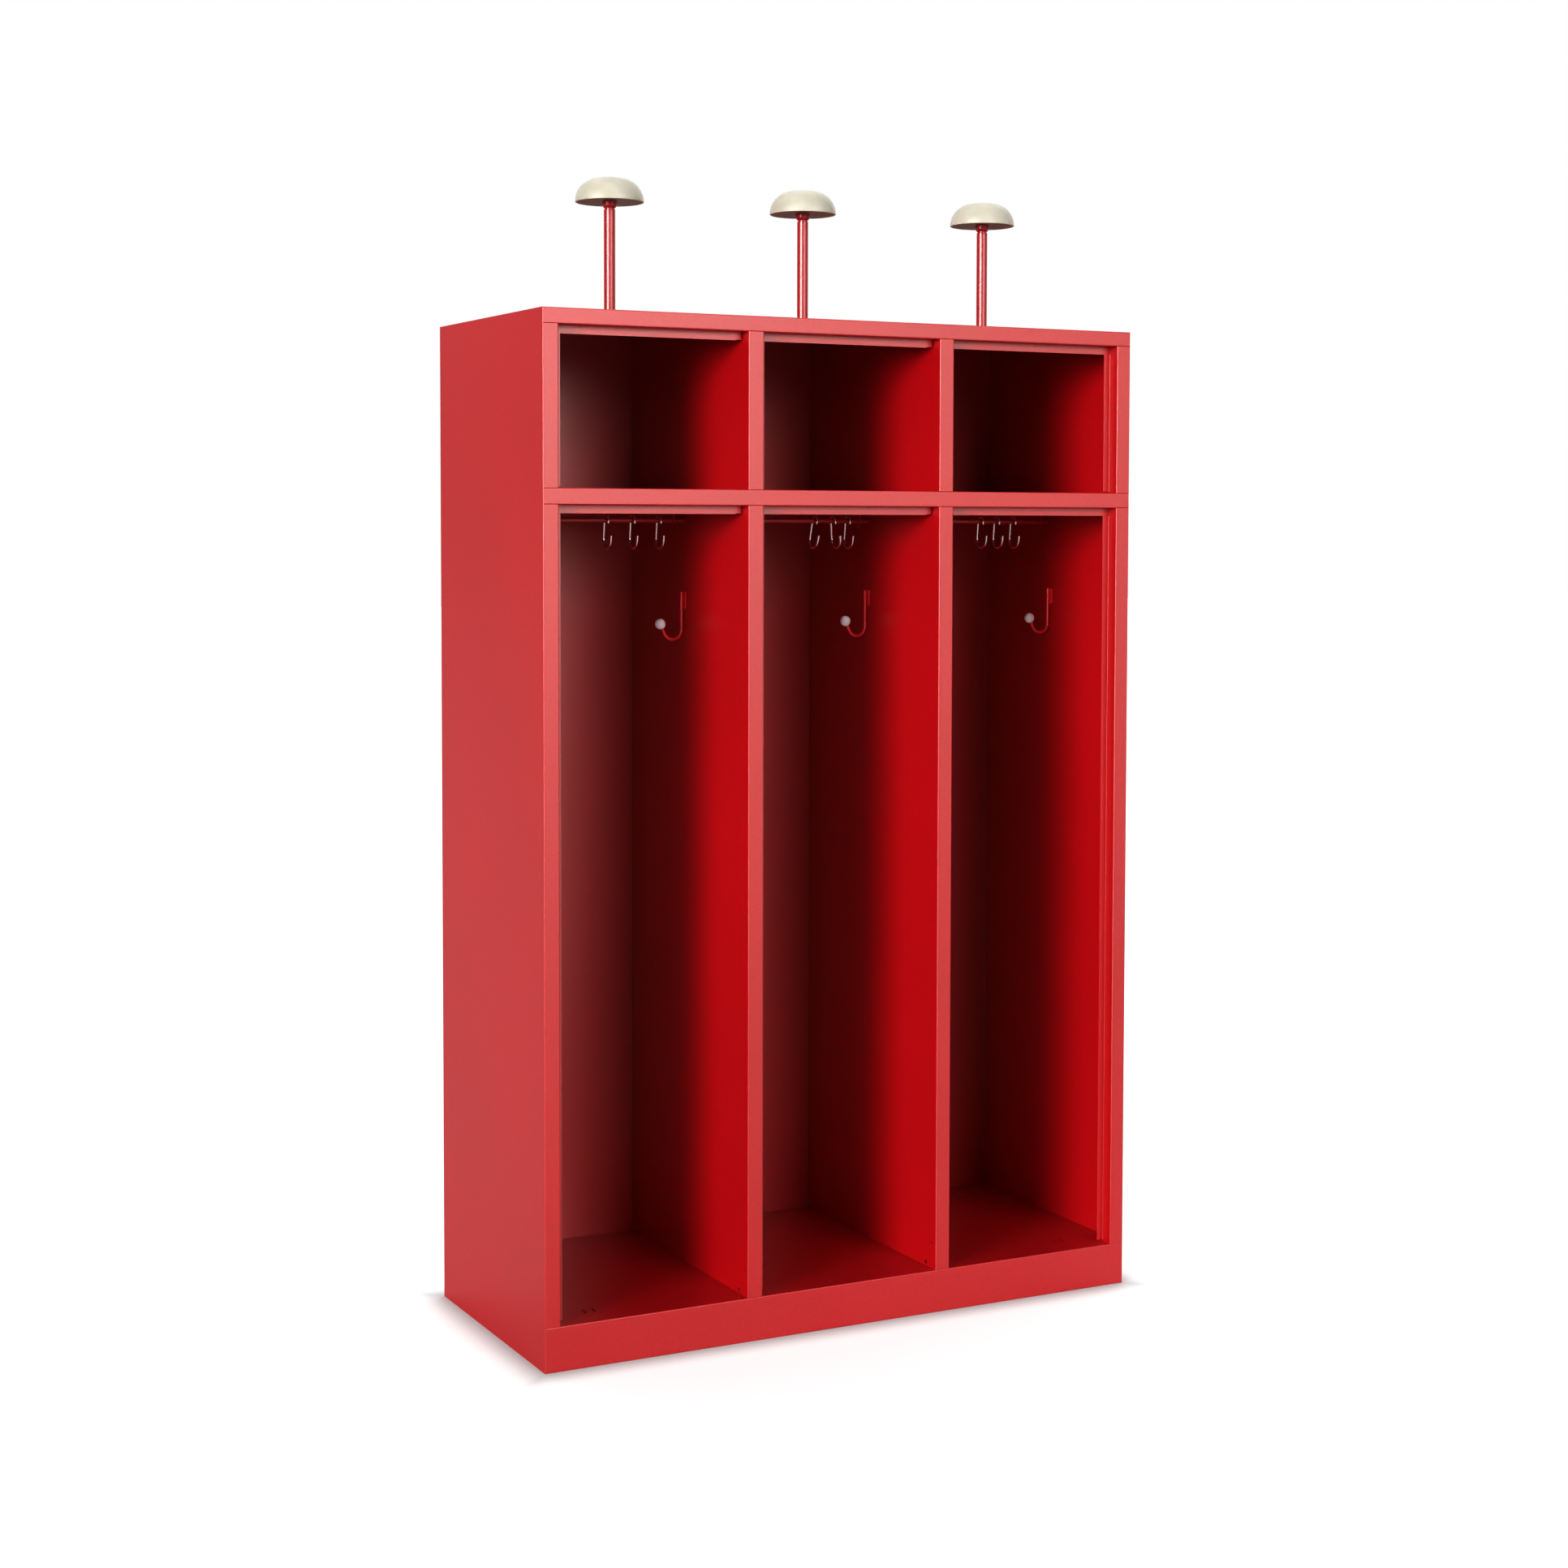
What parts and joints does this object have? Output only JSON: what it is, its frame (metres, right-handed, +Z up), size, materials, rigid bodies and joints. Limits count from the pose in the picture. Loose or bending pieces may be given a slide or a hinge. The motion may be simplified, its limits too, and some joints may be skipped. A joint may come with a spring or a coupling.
{
  "type": "open locker unit",
  "caption": "Free-standing open-fronted steel cloakroom locker in tall bays, each with a helmet shelf, a rail with sliding hooks, a wall hook and a domed helmet post on top.",
  "frame": {"origin": "middle of the footprint, on the floor", "axes": "+Z up, +Y from the open front to the back, +X to the right of someone facing the front"},
  "size_m": [1.18, 0.5, 2.0482],
  "materials": {
    "red_powder_coat": "fine-textured satin red powder coat on folded sheet steel, rails and posts",
    "chrome_wire": "bright chrome-plated wire",
    "white_ball": "glossy off-white moulded ball",
    "cream_plastic": "matt cream injection-moulded plastic",
    "zinc_fasteners": "bright zinc-plated rivets and screws"
  },
  "bodies": {
    "carcass": {"left_side_panel": "red_powder_coat", "right_side_panel": "red_powder_coat", "lower_divider_left": "red_powder_coat", "upper_divider_left": "red_powder_coat", "lower_divider_right": "red_powder_coat", "upper_divider_right": "red_powder_coat", "top_panel": "red_powder_coat", "shelf_panel": "red_powder_coat", "base_tray": "red_powder_coat", "hanger_rivets": "zinc_fasteners", "divider_rivets": "zinc_fasteners", "post_foot_screws": "zinc_fasteners", "back_panel_left": "red_powder_coat", "hanging_rail_left": "red_powder_coat", "rail_hanger_left_1": "red_powder_coat", "rail_hanger_left_2": "red_powder_coat", "wall_hook_plate_left": "red_powder_coat", "wall_hook_rod_left": "red_powder_coat", "wall_hook_ball_left": "white_ball", "post_foot_left": "red_powder_coat", "post_tube_left": "red_powder_coat", "post_collar_left": "red_powder_coat", "helmet_dome_left": "cream_plastic", "back_panel_middle": "red_powder_coat", "hanging_rail_middle": "red_powder_coat", "rail_hanger_middle_1": "red_powder_coat", "rail_hanger_middle_2": "red_powder_coat", "wall_hook_plate_middle": "red_powder_coat", "wall_hook_rod_middle": "red_powder_coat", "wall_hook_ball_middle": "white_ball", "post_foot_middle": "red_powder_coat", "post_tube_middle": "red_powder_coat", "post_collar_middle": "red_powder_coat", "helmet_dome_middle": "cream_plastic", "back_panel_right": "red_powder_coat", "hanging_rail_right": "red_powder_coat", "rail_hanger_right_1": "red_powder_coat", "rail_hanger_right_2": "red_powder_coat", "wall_hook_plate_right": "red_powder_coat", "wall_hook_rod_right": "red_powder_coat", "wall_hook_ball_right": "white_ball", "post_foot_right": "red_powder_coat", "post_tube_right": "red_powder_coat", "post_collar_right": "red_powder_coat", "helmet_dome_right": "cream_plastic"},
    "left_hook_1": {"slide_hook_left_1": "chrome_wire"},
    "left_hook_2": {"slide_hook_left_2": "chrome_wire"},
    "left_hook_3": {"slide_hook_left_3": "chrome_wire"},
    "middle_hook_1": {"slide_hook_middle_1": "chrome_wire"},
    "middle_hook_2": {"slide_hook_middle_2": "chrome_wire"},
    "middle_hook_3": {"slide_hook_middle_3": "chrome_wire"},
    "right_hook_1": {"slide_hook_right_1": "chrome_wire"},
    "right_hook_2": {"slide_hook_right_2": "chrome_wire"},
    "right_hook_3": {"slide_hook_right_3": "chrome_wire"}
  },
  "joints": [
    {"name": "left_hook_1_slide", "type": "slide", "parent": "carcass", "child": "left_hook_1", "axis": [1, 0, 0], "range_m": [-0.194, 0.0462]},
    {"name": "left_hook_2_slide", "type": "slide", "parent": "carcass", "child": "left_hook_2", "axis": [1, 0, 0], "range_m": [-0.0462, 0.0469]},
    {"name": "left_hook_3_slide", "type": "slide", "parent": "carcass", "child": "left_hook_3", "axis": [1, 0, 0], "range_m": [-0.0469, 0.0199]},
    {"name": "middle_hook_1_slide", "type": "slide", "parent": "carcass", "child": "middle_hook_1", "axis": [1, 0, 0], "range_m": [-0.2327, 0.0318]},
    {"name": "middle_hook_2_slide", "type": "slide", "parent": "carcass", "child": "middle_hook_2", "axis": [1, 0, 0], "range_m": [-0.0318, 0.0194]},
    {"name": "middle_hook_3_slide", "type": "slide", "parent": "carcass", "child": "middle_hook_3", "axis": [1, 0, 0], "range_m": [-0.0194, 0.0166]},
    {"name": "right_hook_1_slide", "type": "slide", "parent": "carcass", "child": "right_hook_1", "axis": [1, 0, 0], "range_m": [-0.2052, 0.0315]},
    {"name": "right_hook_2_slide", "type": "slide", "parent": "carcass", "child": "right_hook_2", "axis": [1, 0, 0], "range_m": [-0.0315, 0.032]},
    {"name": "right_hook_3_slide", "type": "slide", "parent": "carcass", "child": "right_hook_3", "axis": [1, 0, 0], "range_m": [-0.032, 0.0549]}
  ]
}
